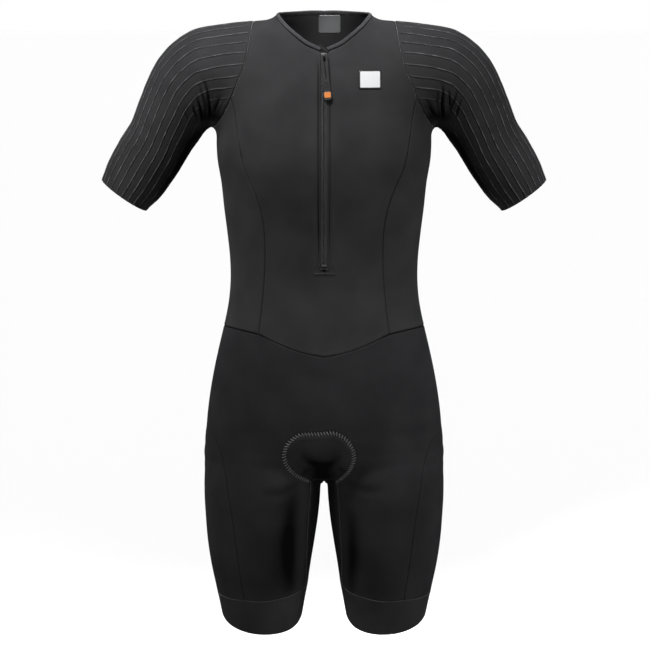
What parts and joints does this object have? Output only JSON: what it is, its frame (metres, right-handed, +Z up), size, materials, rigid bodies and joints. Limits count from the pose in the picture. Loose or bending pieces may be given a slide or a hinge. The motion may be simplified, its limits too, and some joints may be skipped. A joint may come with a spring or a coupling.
{
  "type": "triathlon suit",
  "caption": "One-piece stretch suit with short ribbed sleeves, a front zip, mid-thigh legs with gripper bands and a thin seat pad.",
  "frame": {"origin": "midway between the two high points of the shoulders, where the suit hangs on its wearer", "axes": "+Z up along the suit from legs to neck, +X towards the wearer's left, +Y towards the wearer's back"},
  "size_m": [0.6296, 0.2313, 0.8831],
  "materials": {
    "knit": "matte stretch warp knit",
    "ribbed_knit": "matte stretch knit with fine raised ribs",
    "shorts_knit": "dense matte stretch knit",
    "band_knit": "doubled smooth elastic band",
    "trim": "woven tape and folded binding",
    "pad_foam": "cloth-faced foam",
    "zip_plastic": "semi-matte nylon",
    "zip_metal": "black semi-matte enamel",
    "pull_rubber": "satin moulded rubber",
    "pull_orange": "satin moulded rubber",
    "reflective": "retroreflective heat-bonded film",
    "label_grey": "smooth printed heat-bonded film"
  },
  "bodies": {
    "suit": {"back_panel": "knit", "chest_patch": "reflective", "front_panel": "knit", "inner_leg_left": "shorts_knit", "inner_leg_right": "shorts_knit", "leg_band_left": "band_knit", "leg_band_right": "band_knit", "neck_binding": "trim", "neck_label": "label_grey", "outer_leg_left": "shorts_knit", "outer_leg_right": "shorts_knit", "seat_pad": "pad_foam", "shorts_back": "shorts_knit", "shorts_front": "shorts_knit", "side_panel_left": "knit", "side_panel_right": "knit", "sleeve_left": "ribbed_knit", "sleeve_right": "ribbed_knit", "zip_coil": "zip_plastic", "zip_slider": "zip_metal", "zip_stop": "zip_plastic", "zip_tape": "trim"},
    "pull": {"zip_pull": "pull_rubber", "zip_pull_inlay": "pull_orange"}
  },
  "joints": [
    {"name": "zip_pull_hinge", "type": "hinge", "parent": "suit", "child": "pull", "pos_m": [0, -0.08448, -0.05055], "axis": [-1, 0, 0], "range_deg": [0, 150]}
  ]
}
